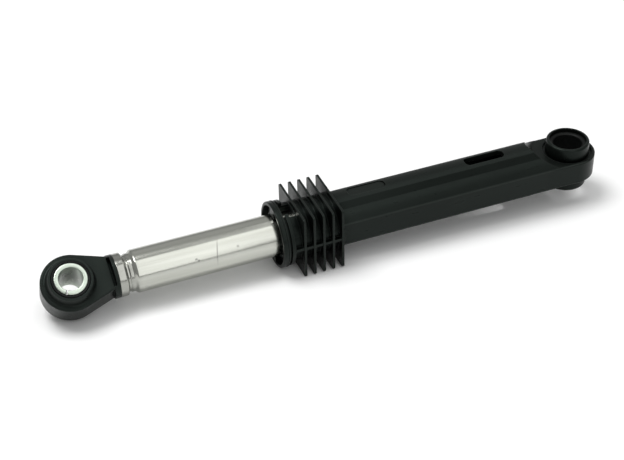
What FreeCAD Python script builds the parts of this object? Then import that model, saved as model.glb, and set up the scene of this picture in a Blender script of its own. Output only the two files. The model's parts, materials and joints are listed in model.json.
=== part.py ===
import FreeCAD, Part
import math
import os
import Sketcher

# Friction shock absorber of a washing machine drum: a moulded, finned barrel with an eye,
# and a steel tube with an eye that slides in friction linings in the barrel's mouth.
# Frame: X along the damper from the barrel eye (origin) to the rod eye, Z up through the
# barrel eye's bore. All lengths in millimetres, angles in degrees.

doc = FreeCAD.newDocument("shock_absorber")
dims = doc.addObject("Spreadsheet::Sheet", "dims")

SIZES = (
    # Barrel moulding: section, eye and hub
    ("side_wall", 1.7, "wall between the bore and the side panels"),
    ("side_half_height", 5.75, "half height of the side panels, also of the eye plate"),
    ("shoulder_inset", 4.4, "line between sloping panel and crown pad, inside the bore's side"),
    ("shoulder_drop", 1.57, "that line below the bore's top"),
    ("panel_bow", 20.0, "radius of the bowed sloping panels"),
    ("crown_wall", 2.4, "wall between the bore and the crowned pads above and below"),
    ("crown_half_width", 4.95, "half width of the crowned pads"),
    ("hub_wall", 1.4, "wall of the barrel eye hub at its ends"),
    ("hub_draft", 0.3, "hub's widening from its ends to the plate"),
    ("hub_half_height", 12.0, "half height of the barrel eye hub"),
    ("eye_rim", 1.6, "plate of the barrel eye outside the groove round the hub"),
    ("eye_clear", 3.2, "flat ring face outside that plate, cut into the barrel's end"),
    ("clear_slope", 6.0, "length of the slope from that face up to the crowned pads"),
    ("hub_moat_width", 1.3, "groove in the plate round the hub"),
    ("hub_moat_depth", 1.0, "depth of that groove"),
    ("hub_edge_round", 1.0, "rounding of the hub's outer edge"),
    ("ridge_round", 0.5, "rounding along the side panels' edges"),
    ("rim_bevel", 0.5, "bevel of the eye plate's rim"),
    # Barrel moulding: fins and mouth
    ("fins_start", 126.5, "first fin from the eye centre"),
    ("fin_pitch", 4.66, "distance from fin to fin"),
    ("fin_reach", 2.55, "square fins' sides outside the neck"),
    ("fin_thickness", 1.05, "thickness of a fin"),
    ("fin_corner", 1.3, "corner radius of a fin"),
    ("neck_wall", 1.3, "wall of the round neck that carries the fins"),
    ("neck_collar", 2.4, "neck length behind the first fin"),
    ("rib_inset", 0.4, "side rib's edge inside the fins' edge"),
    ("rib_thickness", 1.2, "thickness of the side ribs"),
    ("flange_gap", 4.3, "last fin's centre to the mouth flange"),
    ("flange_height", 1.9, "thin flange at the mouth, outside the neck"),
    ("flange_thickness", 1.6, "thickness of that flange"),
    ("notch_length", 5.1, "depth of the notches in the mouth's edge, above and below"),
    ("notch_width", 8.3, "width of the notches"),
    ("notch_shift", 1.5, "middle of the notches beside the middle of the crowned pads"),
    # Barrel moulding: bores and slots
    ("bore_gap", 1.4, "gap between the tube and the long bore of the barrel"),
    ("end_wall", 1.1, "closed end of the bore behind the slope's top"),
    ("chamber_radius", 12.4, "wider bore that holds the linings"),
    ("chamber_back", 2.0, "chamber's inner end behind the first fin"),
    ("slot_width", 5.8, "width of the slots above and below"),
    ("slot_corner", 2.2, "corner radius of the slots"),
    ("vent_slot_centre", 46.4, "open slots, from the eye centre"),
    ("vent_slot_length", 20.7, "length of the open slots"),
    ("lug_inset", 6.9, "slots for the sleeve's lugs, behind the chamber"),
    ("lug_slot_length", 19.0, "length of those slots"),
    ("lug_sink", 0.35, "lug's top below the crown"),
    ("lug_clearance", 0.2, "gap round a lug in its slot"),
    # Pieces in the mouth
    ("slide_clearance", 0.3, "radial gap of the cap and sleeve round the tube"),
    ("seat_clearance", 0.04, "gap of pieces seated in the barrel's bores"),
    ("lining_clearance", 0.05, "radial gap of the linings on the tube"),
    ("lining_split", 0.8, "butt joint of a lining strip"),
    ("spacer_length", 1.8, "ring between the linings"),
    ("sleeve_tail", 0.6, "retaining sleeve behind its lugs"),
    ("cap_overhang", 0.3, "outer band of the mouth cap outside the flange"),
    ("cap_band_length", 3.0, "length of that band"),
    ("cap_skirt_step", 0.6, "recess between band and flange, outside the neck"),
    ("cap_skirt_length", 1.2, "length of that recess"),
    ("cap_spigot_length", 6.2, "cap's reach into the chamber"),
    ("cap_pocket_depth", 2.8, "ring pocket in the cap's front"),
    ("cap_pocket_wall", 0.7, "wall between the recess and that pocket"),
    ("cap_pocket_flare", 0.8, "widening of the pocket to its mouth"),
    ("cap_collar_wall", 0.9, "collar round the tube"),
    ("cap_collar_sink", 1.8, "collar's front behind the cap's front"),
    ("cap_groove_place", 1.9, "fine groove in the band, from the cap's front"),
    ("cap_groove_width", 0.5, "width of that groove"),
    ("cap_groove_depth", 0.35, "depth of that groove"),
    ("cap_lip_round", 0.6, "rounding of the cap's front lip"),
    ("cap_land_width", 4.7, "lands across the ring pocket, above and below"),
    # Rod
    ("rest_length", 251.3, "eye to eye as modelled"),
    ("eye_roll", 32.0, "turn of the rod eye about the damper's axis"),
    ("tube_radius", 10.0, "outer radius of the tube"),
    ("tube_wall", 1.0, "wall of the tube"),
    ("stop_gap", 6.0, "inner end of the tube behind the retaining sleeve, its way out"),
    ("eye_to_tube", 20.8, "rod eye's centre to the tube's end"),
    ("end_band", 3.5, "full tube in front of the rolled groove"),
    ("groove_fall", 0.8, "length of the groove's steep side"),
    ("groove_floor", 0.8, "length of the groove's floor"),
    ("groove_depth", 1.5, "depth of the groove"),
    ("ridge_rise", 0.5, "length of the step beside the floor"),
    ("ridge_depth", 1.15, "depth of the flat beside the floor"),
    ("ridge_length", 1.5, "length of that flat"),
    ("groove_rise", 1.3, "length of the groove's other side"),
    ("roll_shift", 0.6, "the wall's shift along the axis inside the groove"),
    ("crimp_clearance", 0.05, "gap between tube and spigot"),
    ("guide_head_length", 5.0, "head of the inner guide"),
    ("guide_spigot_length", 9.0, "guide's reach into the tube"),
    ("guide_bore_radius", 6.0, "hole through the guide"),
    ("guide_clearance", 0.08, "radial gap of the guide in the barrel's bore"),
    ("guide_chamfer", 0.8, "lead on the guide's edges"),
    ("guide_groove_place", 4.5, "tube's inner end to the groove that holds the guide"),
    ("guide_groove_floor", 0.8, "length of that groove's floor"),
    ("guide_groove_rise", 0.6, "length of its sides"),
    ("guide_groove_depth", 0.6, "depth of that groove"),
    # Rod eye
    ("plate_rim", 2.4, "rod eye plate outside its hub"),
    ("plate_half_thickness", 6.5, "half thickness of the rod eye plate"),
    ("plate_taper", 2.0, "plate's edge inside the tube's side where it meets the collar"),
    ("plate_edge_round", 0.8, "rounding of the plate's edge"),
    ("collar_length", 2.6, "round collar against the tube's end"),
    ("spigot_length", 16.0, "eye's reach into the tube"),
    ("spigot_bore_radius", 4.5, "hollow of that spigot"),
    ("eye_hub_wall", 1.1, "wall of the rod eye hub at its ends"),
    ("eye_hub_flare", 1.1, "hub's widening from its ends to the plate"),
    ("eye_hub_half_height", 10.8, "half height of the rod eye hub"),
    ("eye_hub_fillet", 1.0, "hollow rounding at the hub's foot"),
    ("rubber_wall", 1.4, "wall of the rubber bush in the rod eye"),
    ("bush_reach", 0.1, "bush's ends past the hub"),
    ("lip_gap", 0.75, "middle of the lip on the bush's ends, outside the steel sleeve"),
    ("lip_half_width", 0.25, "half width of the lip"),
    ("lip_height", 0.35, "height of the lip"),
    ("bush_chamfer", 0.4, "bevel of the bush's outer edge"),
    ("sleeve_bore_radius", 5.4, "bolt hole of the steel sleeve"),
    ("sleeve_wall", 2.0, "wall of the steel sleeve"),
    ("sleeve_reach", 0.7, "steel sleeve's ends past the hub"),
    ("sleeve_slit", 0.7, "slit of the rolled sleeve"),
    ("slit_turn", 60.0, "turn of the slit from the X axis"),
    ("press_clearance", 0.02, "gap of pressed pieces"),
    # Barrel eye bush
    ("pin_hole_radius", 7.05, "hole for the tub's pin"),
    ("pin_bush_wall", 2.05, "wall of the bush in the barrel eye"),
    ("pin_bush_sink", 1.8, "bush end below the hub's end"),
    ("pin_bush_chamfer", 0.5, "lead of the hole"),
    ("cut_margin", 2.0, "reach of a cut past the solid"),
)
for row, (alias, size, note) in enumerate(SIZES, start=1):
    dims.set(f"A{row}", alias)
    dims.set(f"B{row}", str(size))
    dims.set(f"C{row}", note)
    dims.setAlias(f"B{row}", alias)
doc.recompute()

FIN_COUNT = 5

# Radii and half widths that follow from the sizes, outwards from the tube
CHAMBER = "dims.chamber_radius"
BORE = "(dims.tube_radius + dims.bore_gap)"
WIDEST = f"max({CHAMBER}; {BORE})"
NECK = f"({WIDEST} + dims.neck_wall)"
FLANGE = f"({NECK} + dims.flange_height)"
FIN_SIDE = f"(2 * ({NECK} + dims.fin_reach))"
CAP_BAND = f"({FLANGE} + dims.cap_overhang)"
CAP_SKIRT = f"({NECK} + dims.cap_skirt_step)"
CAP_POCKET = f"({CAP_SKIRT} - dims.cap_pocket_wall)"
BARREL_HALF_WIDTH = f"({BORE} + dims.side_wall)"
SHOULDER_HALF_WIDTH = f"({BORE} - dims.shoulder_inset)"
SHOULDER_HEIGHT = f"({BORE} - dims.shoulder_drop)"
CROWN = f"({BORE} + dims.crown_wall)"
SLIDE_RADIUS = "(dims.tube_radius + dims.slide_clearance)"
SEATED_RADIUS = f"({CHAMBER} - dims.seat_clearance)"

# Radii of the two eyes, outwards from the pin and the bolt
PIN_BUSH = "(dims.pin_hole_radius + dims.pin_bush_wall)"
HUB_TOP = f"({PIN_BUSH} + dims.hub_wall)"
HUB = f"({HUB_TOP} + dims.hub_draft)"
EYE = f"({HUB} + dims.hub_moat_width + dims.eye_rim)"
EYE_CLEAR = f"({EYE} + dims.eye_clear)"
BOLT_SLEEVE = "(dims.sleeve_bore_radius + dims.sleeve_wall)"
ROD_BUSH = f"({BOLT_SLEEVE} + dims.rubber_wall)"
ROD_HUB_TOP = f"({ROD_BUSH} + dims.eye_hub_wall)"
ROD_HUB_FOOT = f"({ROD_HUB_TOP} + dims.eye_hub_flare)"
ROD_PLATE = f"({ROD_HUB_FOOT} + dims.plate_rim)"

# Places along the axis that follow from the sizes
PAD_END = f"({EYE_CLEAR} + dims.clear_slope)"
BORE_END = f"({PAD_END} + dims.end_wall)"
LAST_FIN = f"(dims.fins_start + {FIN_COUNT - 1} * dims.fin_pitch)"
FLANGE_BACK = f"({LAST_FIN} + dims.flange_gap)"
MOUTH = f"({FLANGE_BACK} + dims.flange_thickness)"
CHAMBER_END = "(dims.fins_start - dims.chamber_back)"
CAP_SPIGOT_END = f"({MOUTH} - dims.cap_spigot_length)"
CAP_BAND_BACK = f"({MOUTH} + dims.cap_skirt_length)"
CAP_FRONT = f"({CAP_BAND_BACK} + dims.cap_band_length)"
LUG_CENTRE = f"({CHAMBER_END} - dims.lug_inset - dims.lug_slot_length / 2)"
SLEEVE_LENGTH = "(dims.lug_inset + dims.lug_slot_length + dims.sleeve_tail)"
SLEEVE_BACK = f"({CHAMBER_END} - {SLEEVE_LENGTH})"
TUBE_START = f"({SLEEVE_BACK} - dims.stop_gap)"
TUBE_END = "(dims.rest_length - dims.eye_to_tube)"
LINING_LENGTH = (
    f"(({CAP_SPIGOT_END} - {CHAMBER_END} - dims.spacer_length - 4 * dims.seat_clearance) / 2)"
)


def value(expression):
    """Number that an expression on the sheet's sizes gives now."""
    return float(dims.evalExpression(expression))


def new_body(name):
    """Empty body whose label names its node."""
    body = doc.addObject("PartDesign::Body", name)
    body.Label = name
    return body


def origin_feature(body, role):
    """The body's own origin plane or axis with this role."""
    return next(item for item in body.Origin.OriginFeatures if item.Role == role)


def new_sketch(body, name, role, offset=None):
    """Sketch on one of the body's origin planes, moved along the plane's normal."""
    sketch = body.newObject("Sketcher::SketchObject", name)
    sketch.AttachmentSupport = (origin_feature(body, role), [""])
    sketch.MapMode = "FlatFace"
    if offset is not None:
        sketch.setExpression("AttachmentOffset.Base.z", offset)
    return sketch


def drive(sketch, kind, references, expression):
    """Dimension that takes its value from the sheet."""
    constraint = Sketcher.Constraint(kind, *references, value(expression))
    index = sketch.addConstraint(constraint)
    sketch.setExpression(f"Constraints[{index}]", expression)


def place_point(sketch, geometry, end, across, up):
    """Ties a point to the sketch's origin; "0" puts it on the axis."""
    if across == "0":
        sketch.addConstraint(Sketcher.Constraint("PointOnObject", geometry, end, -2))
    else:
        drive(sketch, "DistanceX", (-1, 1, geometry, end), across)
    if up == "0":
        sketch.addConstraint(Sketcher.Constraint("PointOnObject", geometry, end, -1))
    else:
        drive(sketch, "DistanceY", (-1, 1, geometry, end), up)


def join(sketch, first, first_end, second, second_end, kind="Coincident"):
    """Makes two ends meet, smoothly when the kind is Tangent."""
    sketch.addConstraint(Sketcher.Constraint(kind, first, first_end, second, second_end))


def bowed_side(start, end, radius):
    """Anticlockwise arc of a radius from one corner to the next."""
    half = (end - start) * 0.5
    inward = FreeCAD.Vector(-half.y, half.x, 0).normalize()
    centre = start + half + inward * math.sqrt(radius ** 2 - half.Length ** 2)
    first_turn, last_turn = (math.atan2(p.y - centre.y, p.x - centre.x) for p in (start, end))
    return Part.ArcOfCircle(Part.Circle(centre, FreeCAD.Vector(0, 0, 1), radius), first_turn, last_turn)


def polygon(sketch, corners, bowed=(), bow=None):
    """Closed outline through corners given as expressions; bowed sides are arcs, others straight."""
    points = [FreeCAD.Vector(value(across), value(up), 0) for across, up in corners]
    count = len(points)
    first = sketch.GeometryCount
    for index, point in enumerate(points):
        following = points[(index + 1) % count]
        if index in bowed:
            sketch.addGeometry(bowed_side(point, following, value(bow)))
        else:
            sketch.addGeometry(Part.LineSegment(point, following))
    for index, (across, up) in enumerate(corners):
        join(sketch, first + index, 2, first + (index + 1) % count, 1)
        place_point(sketch, first + index, 1, across, up)
    for index in bowed:
        drive(sketch, "Radius", (first + index,), bow)
    return sketch


def circle(sketch, radius):
    """Circle about the sketch's origin."""
    shape = Part.Circle(FreeCAD.Vector(), FreeCAD.Vector(0, 0, 1), value(radius))
    index = sketch.addGeometry(shape)
    join(sketch, index, 3, -1, 1)
    drive(sketch, "Radius", (index,), radius)
    return sketch


def rectangle(sketch, left, right, bottom, top):
    """Rectangle between four places given as expressions."""
    return polygon(sketch, [(left, bottom), (right, bottom), (right, top), (left, top)])


def rounded_rectangle(sketch, centre, width, height, corner):
    """Rectangle with round corners, centred on the sketch's X axis at a given place."""
    reach_x = f"({width} / 2 - {corner})"
    reach_y = f"({height} / 2 - {corner})"
    signs = ((1, 1), (-1, 1), (-1, -1), (1, -1))
    radius = value(corner)
    arcs = []
    ends = []
    for turn, (sign_x, sign_y) in enumerate(signs):
        across = f"({centre} + ({sign_x}) * {reach_x})"
        up = f"(({sign_y}) * {reach_y})"
        middle = FreeCAD.Vector(value(across), value(up), 0)
        round_corner = Part.Circle(middle, FreeCAD.Vector(0, 0, 1), radius)
        start = turn * math.pi / 2
        arc = Part.ArcOfCircle(round_corner, start, start + math.pi / 2)
        arcs.append(sketch.addGeometry(arc))
        ends.append((arc.StartPoint, arc.EndPoint))
        place_point(sketch, arcs[-1], 3, across, up)
        drive(sketch, "Radius", (arcs[-1],), corner)
    for turn, arc in enumerate(arcs):
        following = (turn + 1) % len(arcs)
        side = Part.LineSegment(ends[turn][1], ends[following][0])
        line = sketch.addGeometry(side)
        join(sketch, arc, 2, line, 1, "Tangent")
        join(sketch, line, 2, arcs[following], 1, "Tangent")
    return sketch


def pad(body, name, sketch, length, symmetric=False):
    """Straight extrusion of a sketch, to one side or half to each."""
    feature = body.newObject("PartDesign::Pad", name)
    feature.Profile = sketch
    feature.setExpression("Length", length)
    if symmetric:
        feature.SideType = "Symmetric"
    return feature


def cut_through(body, name, sketch, side="Symmetric", reverse=False):
    """Cut of a sketch through the whole body."""
    feature = body.newObject("PartDesign::Pocket", name)
    feature.Profile = sketch
    feature.Type = "ThroughAll"
    feature.SideType = side
    feature.Reversed = reverse
    return feature


def turned(body, name, sketch, axis="H_Axis", kind="PartDesign::Revolution"):
    """Full turn of a sketch about one of its own axes, added or cut away."""
    feature = body.newObject(kind, name)
    feature.Profile = sketch
    feature.ReferenceAxis = (sketch, [axis])
    feature.Angle = 360
    return feature


def pattern(body, kind, name, original, **settings):
    """Repeats a feature and makes the repeat the body's tip."""
    feature = body.newObject(kind, name)
    feature.Originals = [original]
    for setting, content in settings.items():
        setattr(feature, setting, content)
    body.Tip = feature
    return feature


def round_edges(body, name, radius, chosen):
    """Rounds the edges of the body so far that pass a test."""
    doc.recompute()
    base = body.Tip
    edges = [f"Edge{index}" for index, edge in enumerate(base.Shape.Edges, 1) if chosen(edge)]
    feature = body.newObject("PartDesign::Fillet", name)
    feature.Base = (base, edges)
    feature.setExpression("Radius", radius)
    doc.recompute()
    return feature


def ring_edge(radius, axis, *stations):
    """Test for round edges of one radius at one of some stations along an axis."""
    def chosen(edge):
        curve = edge.Curve
        if not isinstance(curve, Part.Circle) or abs(curve.Radius - value(radius)) > 1e-4:
            return False
        return any(abs(curve.Center[axis] - value(station)) < 1e-4 for station in stations)
    return chosen


def notches(body, name):
    """Cuts the notches above and below into the mouth, through barrel and cap alike."""
    sketch = new_sketch(body, f"{name}Sketch", "XY_Plane")
    rectangle(
        sketch,
        f"({MOUTH} - dims.notch_length)",
        f"({MOUTH} + dims.cap_skirt_length / 2)",
        "(dims.notch_shift - dims.notch_width / 2)",
        "(dims.notch_shift + dims.notch_width / 2)",
    )
    cut_through(body, name, sketch)


def make_barrel():
    """One moulding: eye and hub, eight-sided barrel, five square fins, stepped bore, slots."""
    body = new_body("barrel")
    half_width, side = BARREL_HALF_WIDTH, "dims.side_half_height"
    shoulder, height = SHOULDER_HALF_WIDTH, SHOULDER_HEIGHT

    section = new_sketch(body, "BarrelSection", "YZ_Plane")
    polygon(section, [
        (half_width, side), (shoulder, height), (f"(-{shoulder})", height),
        (f"(-{half_width})", side), (f"(-{half_width})", f"(-{side})"),
        (f"(-{shoulder})", f"(-{height})"), (shoulder, f"(-{height})"),
        (half_width, f"(-{side})"),
    ], bowed=(0, 2, 4, 6), bow="dims.panel_bow")
    pad(body, "BarrelLength", section, "dims.fins_start")

    def ridge(edge):
        middle = edge.valueAt((edge.FirstParameter + edge.LastParameter) / 2)
        at_height = abs(abs(middle.z) - value(side)) < 1e-4
        return at_height and abs(abs(middle.y) - value(half_width)) < 1e-4
    round_edges(body, "RidgeRound", "dims.ridge_round", ridge)

    # Crowned pad above, mirrored below
    crown = new_sketch(body, "CrownSection", "YZ_Plane", EYE_CLEAR)
    radius, reach = value(CROWN), value("dims.crown_half_width")
    start = math.acos(reach / radius)
    round_top = Part.Circle(FreeCAD.Vector(), FreeCAD.Vector(0, 0, 1), radius)
    arc = Part.ArcOfCircle(round_top, start, math.pi - start)
    foot = FreeCAD.Vector(value(shoulder), value(height), 0)
    other_foot = FreeCAD.Vector(-foot.x, foot.y, 0)
    top = crown.addGeometry(arc)
    left = crown.addGeometry(Part.LineSegment(arc.EndPoint, other_foot))
    base = crown.addGeometry(Part.LineSegment(other_foot, foot))
    right = crown.addGeometry(Part.LineSegment(foot, arc.StartPoint))
    join(crown, top, 3, -1, 1)
    join(crown, top, 2, left, 1)
    join(crown, left, 2, base, 1)
    join(crown, base, 2, right, 1)
    join(crown, right, 2, top, 1)
    drive(crown, "Radius", (top,), CROWN)
    drive(crown, "DistanceX", (-1, 1, top, 1), "dims.crown_half_width")
    drive(crown, "DistanceX", (-1, 1, top, 2), "(-dims.crown_half_width)")
    place_point(crown, base, 1, f"(-{shoulder})", height)
    place_point(crown, base, 2, shoulder, height)
    upper = pad(body, "CrownPad", crown, f"dims.fins_start - {EYE_CLEAR}")
    pattern(
        body, "PartDesign::Mirrored", "CrownPads", upper,
        MirrorPlane=(origin_feature(body, "XY_Plane"), [""]),
    )

    # Ring face round the eye, turned into both sides of the barrel's end, with a sloping wall
    ring_face = new_sketch(body, "RingFace", "XZ_Plane")
    above = f"({CROWN} + dims.cut_margin)"
    for sign in ("", "-"):
        polygon(ring_face, [
            ("0", f"({sign}{side})"), (EYE_CLEAR, f"({sign}{side})"),
            (PAD_END, f"({sign}{CROWN})"), (PAD_END, f"({sign}{above})"), ("0", f"({sign}{above})"),
        ])
    turned(body, "RingFaceCut", ring_face, "V_Axis", "PartDesign::Groove")

    # Eye: a link that narrows to the barrel, the round plate, the hub and the groove round it
    rim_height = f"({side} - dims.rim_bevel)"

    def link_section(name, width, offset):
        rim = f"({width} - dims.rim_bevel)"
        return polygon(new_sketch(body, name, "YZ_Plane", offset), [
            (width, rim_height), (rim, side), (f"(-{rim})", side), (f"(-{width})", rim_height),
            (f"(-{width})", f"(-{rim_height})"), (f"(-{rim})", f"(-{side})"),
            (rim, f"(-{side})"), (width, f"(-{rim_height})"),
        ])
    link = body.newObject("PartDesign::AdditiveLoft", "EyeLink")
    link.Profile = link_section("LinkAtEye", EYE, "0")
    link.Sections = [link_section("LinkAtBarrel", half_width, EYE_CLEAR)]
    link.Ruled = True
    plate = new_sketch(body, "EyePlate", "XZ_Plane")
    plate_rim = f"({EYE} - dims.rim_bevel)"
    polygon(plate, [
        ("0", f"(-{side})"), (plate_rim, f"(-{side})"), (EYE, f"(-{rim_height})"),
        (EYE, rim_height), (plate_rim, side), ("0", side),
    ])
    turned(body, "EyePlateTurn", plate, "V_Axis")
    hub = new_sketch(body, "EyeHub", "XZ_Plane")
    hub_end = "dims.hub_half_height"
    polygon(hub, [
        ("0", f"(-{hub_end})"), (HUB_TOP, f"(-{hub_end})"), (HUB, f"(-{side})"), (HUB, side),
        (HUB_TOP, hub_end), ("0", hub_end),
    ])
    turned(body, "EyeHubTurn", hub, "V_Axis")
    moat = new_sketch(body, "HubMoat", "XZ_Plane")
    for sign in ("", "-"):
        rectangle(
            moat, HUB, f"({HUB} + dims.hub_moat_width)",
            f"({sign}({side} - dims.hub_moat_depth))", f"({sign}({side} + dims.cut_margin))",
        )
    turned(body, "HubMoatCut", moat, "V_Axis", "PartDesign::Groove")

    # Round neck with its fins, side ribs and thin mouth flange
    neck_start = "(dims.fins_start - dims.neck_collar)"
    neck = circle(new_sketch(body, "Neck", "YZ_Plane", neck_start), NECK)
    pad(body, "NeckLength", neck, f"{MOUTH} - {neck_start}")
    fin = new_sketch(body, "Fin", "YZ_Plane", "dims.fins_start - dims.fin_thickness / 2")
    rounded_rectangle(fin, "0", FIN_SIDE, FIN_SIDE, "dims.fin_corner")
    first_fin = pad(body, "FirstFin", fin, "dims.fin_thickness")
    fins = pattern(
        body, "PartDesign::LinearPattern", "Fins", first_fin,
        Direction=(origin_feature(body, "X_Axis"), [""]), Occurrences=FIN_COUNT,
    )
    fins.setExpression("Length", f"{FIN_COUNT - 1} * dims.fin_pitch")
    rib = new_sketch(body, "SideRib", "YZ_Plane", "dims.fins_start")
    rib_reach = f"({FIN_SIDE} / 2 - dims.rib_inset)"
    rib_half = "(dims.rib_thickness / 2)"
    rectangle(rib, f"(-{rib_reach})", rib_reach, f"(-{rib_half})", rib_half)
    pad(body, "SideRibs", rib, f"{FLANGE_BACK} - dims.fins_start")
    flange = circle(new_sketch(body, "Flange", "YZ_Plane", FLANGE_BACK), FLANGE)
    pad(body, "MouthFlange", flange, "dims.flange_thickness")

    # Stepped bore, eye bore, slots through the crown pads, notches in the mouth
    bore = new_sketch(body, "Bore", "XZ_Plane")
    bore_front = f"({MOUTH} + dims.cut_margin)"
    polygon(bore, [
        (BORE_END, "0"), (bore_front, "0"), (bore_front, CHAMBER), (CHAMBER_END, CHAMBER),
        (CHAMBER_END, BORE), (BORE_END, BORE),
    ])
    turned(body, "SteppedBore", bore, "H_Axis", "PartDesign::Groove")
    cut_through(body, "EyeBore", circle(new_sketch(body, "EyeHole", "XY_Plane"), PIN_BUSH))
    for name, centre in (("vent", "dims.vent_slot_centre"), ("lug", LUG_CENTRE)):
        slot = new_sketch(body, f"{name}Slot", "XY_Plane")
        rounded_rectangle(
            slot, centre, f"dims.{name}_slot_length", "dims.slot_width", "dims.slot_corner",
        )
        cut_through(body, f"{name}Slots", slot)
    notches(body, "MouthNotches")
    round_edges(
        body, "HubRound", "dims.hub_edge_round",
        ring_edge(HUB_TOP, 2, hub_end, f"(-{hub_end})"),
    )
    return body


def make_mouth_cap():
    """Snap-in cap that closes the lining chamber and guides the tube."""
    body = new_body("mouth_cap")
    profile = new_sketch(body, "CapProfile", "XZ_Plane")
    collar = f"({SLIDE_RADIUS} + dims.cap_collar_wall)"
    collar_front = f"({CAP_FRONT} - dims.cap_collar_sink)"
    pocket_floor = f"({CAP_FRONT} - dims.cap_pocket_depth)"
    pocket_mouth = f"({CAP_POCKET} + dims.cap_pocket_flare)"
    groove_front = f"({CAP_FRONT} - dims.cap_groove_place)"
    groove_back = f"({groove_front} - dims.cap_groove_width)"
    groove_floor = f"({CAP_BAND} - dims.cap_groove_depth)"
    polygon(profile, [
        (CAP_SPIGOT_END, SLIDE_RADIUS), (collar_front, SLIDE_RADIUS), (collar_front, collar),
        (pocket_floor, collar), (pocket_floor, CAP_POCKET), (CAP_FRONT, pocket_mouth),
        (CAP_FRONT, CAP_BAND), (groove_front, CAP_BAND), (groove_front, groove_floor),
        (groove_back, groove_floor), (groove_back, CAP_BAND),
        (CAP_BAND_BACK, CAP_BAND), (CAP_BAND_BACK, CAP_SKIRT),
        (MOUTH, CAP_SKIRT), (MOUTH, SEATED_RADIUS), (CAP_SPIGOT_END, SEATED_RADIUS),
    ])
    turned(body, "CapTurn", profile)
    notches(body, "CapNotches")
    round_edges(body, "LipRound", "dims.cap_lip_round", ring_edge(CAP_BAND, 0, CAP_FRONT))

    # Solid lands across the ring pocket, from inside the collar's wall into the band
    land = new_sketch(body, "Land", "XZ_Plane")
    land_foot = f"({collar} - dims.cap_collar_wall / 2)"
    into_band = "(dims.cap_pocket_wall / 2)"
    polygon(land, [
        (pocket_floor, land_foot), (CAP_FRONT, land_foot),
        (CAP_FRONT, f"({pocket_mouth} + {into_band})"), (pocket_floor, f"({CAP_POCKET} + {into_band})"),
    ])
    upper = pad(body, "UpperLand", land, "dims.cap_land_width", symmetric=True)
    pattern(
        body, "PartDesign::Mirrored", "Lands", upper,
        MirrorPlane=(origin_feature(body, "XY_Plane"), [""]),
    )
    return body


def make_ring(name, start, length, inner, outer, split=False):
    """Plain ring on the damper's axis; a split one is a strip bent round, open below."""
    body = new_body(name)
    profile = new_sketch(body, "RingProfile", "XZ_Plane")
    rectangle(profile, start, f"({start} + {length})", inner, outer)
    turned(body, "RingTurn", profile)
    if split:
        joint = new_sketch(body, "ButtJoint", "XY_Plane")
        half = "(dims.lining_split / 2)"
        rectangle(joint, f"({start} - dims.cut_margin)", f"({start} + {length} + dims.cut_margin)",
                  f"(-{half})", half)
        cut_through(body, "ButtJointCut", joint, "One side")
    return body


def make_retaining_sleeve():
    """Sleeve behind the linings; its lugs snap into the barrel's slots above and below."""
    bore_fit = f"({BORE} - dims.seat_clearance)"
    body = make_ring("retaining_sleeve", SLEEVE_BACK, SLEEVE_LENGTH, SLIDE_RADIUS, bore_fit)
    lug = new_sketch(body, "Lug", "XY_Plane", SLIDE_RADIUS)
    rounded_rectangle(
        lug, LUG_CENTRE, "(dims.lug_slot_length - 2 * dims.lug_clearance)",
        "(dims.slot_width - 2 * dims.lug_clearance)", "(dims.slot_corner - dims.lug_clearance)",
    )
    lug_top = f"(sqrt({CROWN} ^ 2 - (dims.slot_width / 2) ^ 2) - dims.lug_sink)"
    upper = pad(body, "UpperLug", lug, f"{lug_top} - {SLIDE_RADIUS}")
    pattern(
        body, "PartDesign::Mirrored", "Lugs", upper,
        MirrorPlane=(origin_feature(body, "XY_Plane"), [""]),
    )
    hole = circle(new_sketch(body, "SleeveBore", "YZ_Plane"), SLIDE_RADIUS)
    cut_through(body, "SleeveBoreCut", hole)
    return body


def rolled_groove(radius, shift):
    """Corners (place, radius) of the rolled groove, from the tube's end inwards."""
    places = ("dims.end_band", "dims.groove_fall", "dims.groove_floor", "dims.ridge_rise",
              "dims.ridge_length", "dims.groove_rise")
    depths = ("0", "dims.groove_depth", "dims.groove_depth", "dims.ridge_depth",
              "dims.ridge_depth", "0")
    shifts = (1, 1, -1, -1, -1, -1)
    corners = []
    place = TUBE_END
    for step, depth, sign in zip(places, depths, shifts):
        place = f"({place} - {step})"
        corners.append((f"({place} + ({sign}) * {shift})", f"({radius} - {depth})"))
    return corners


def guide_groove(radius, shift):
    """Corners (place, radius) of the groove that holds the guide, towards the inner end."""
    middle = f"({TUBE_START} + dims.guide_groove_place)"
    floor = f"(dims.guide_groove_floor / 2 + {shift})"
    foot = f"({floor} + dims.guide_groove_rise)"
    depth = f"({radius} - dims.guide_groove_depth)"
    return [
        (f"({middle} + {foot})", radius), (f"({middle} + {floor})", depth),
        (f"({middle} - {floor})", depth), (f"({middle} - {foot})", radius),
    ]


def make_rod_tube():
    """Drawn steel tube, rolled into the eye's spigot near one end and the guide near the other."""
    body = new_body("rod_tube")
    profile = new_sketch(body, "TubeProfile", "XZ_Plane")
    outer = "dims.tube_radius"
    inner = "(dims.tube_radius - dims.tube_wall)"
    outside = [
        (TUBE_END, outer), *rolled_groove(outer, "0"), *guide_groove(outer, "0"),
        (TUBE_START, outer),
    ]
    inside = [
        (TUBE_END, inner), *rolled_groove(inner, "dims.roll_shift"),
        *guide_groove(inner, "dims.roll_shift"), (TUBE_START, inner),
    ]
    polygon(profile, outside + inside[::-1])
    turned(body, "TubeTurn", profile)
    return body


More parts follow.
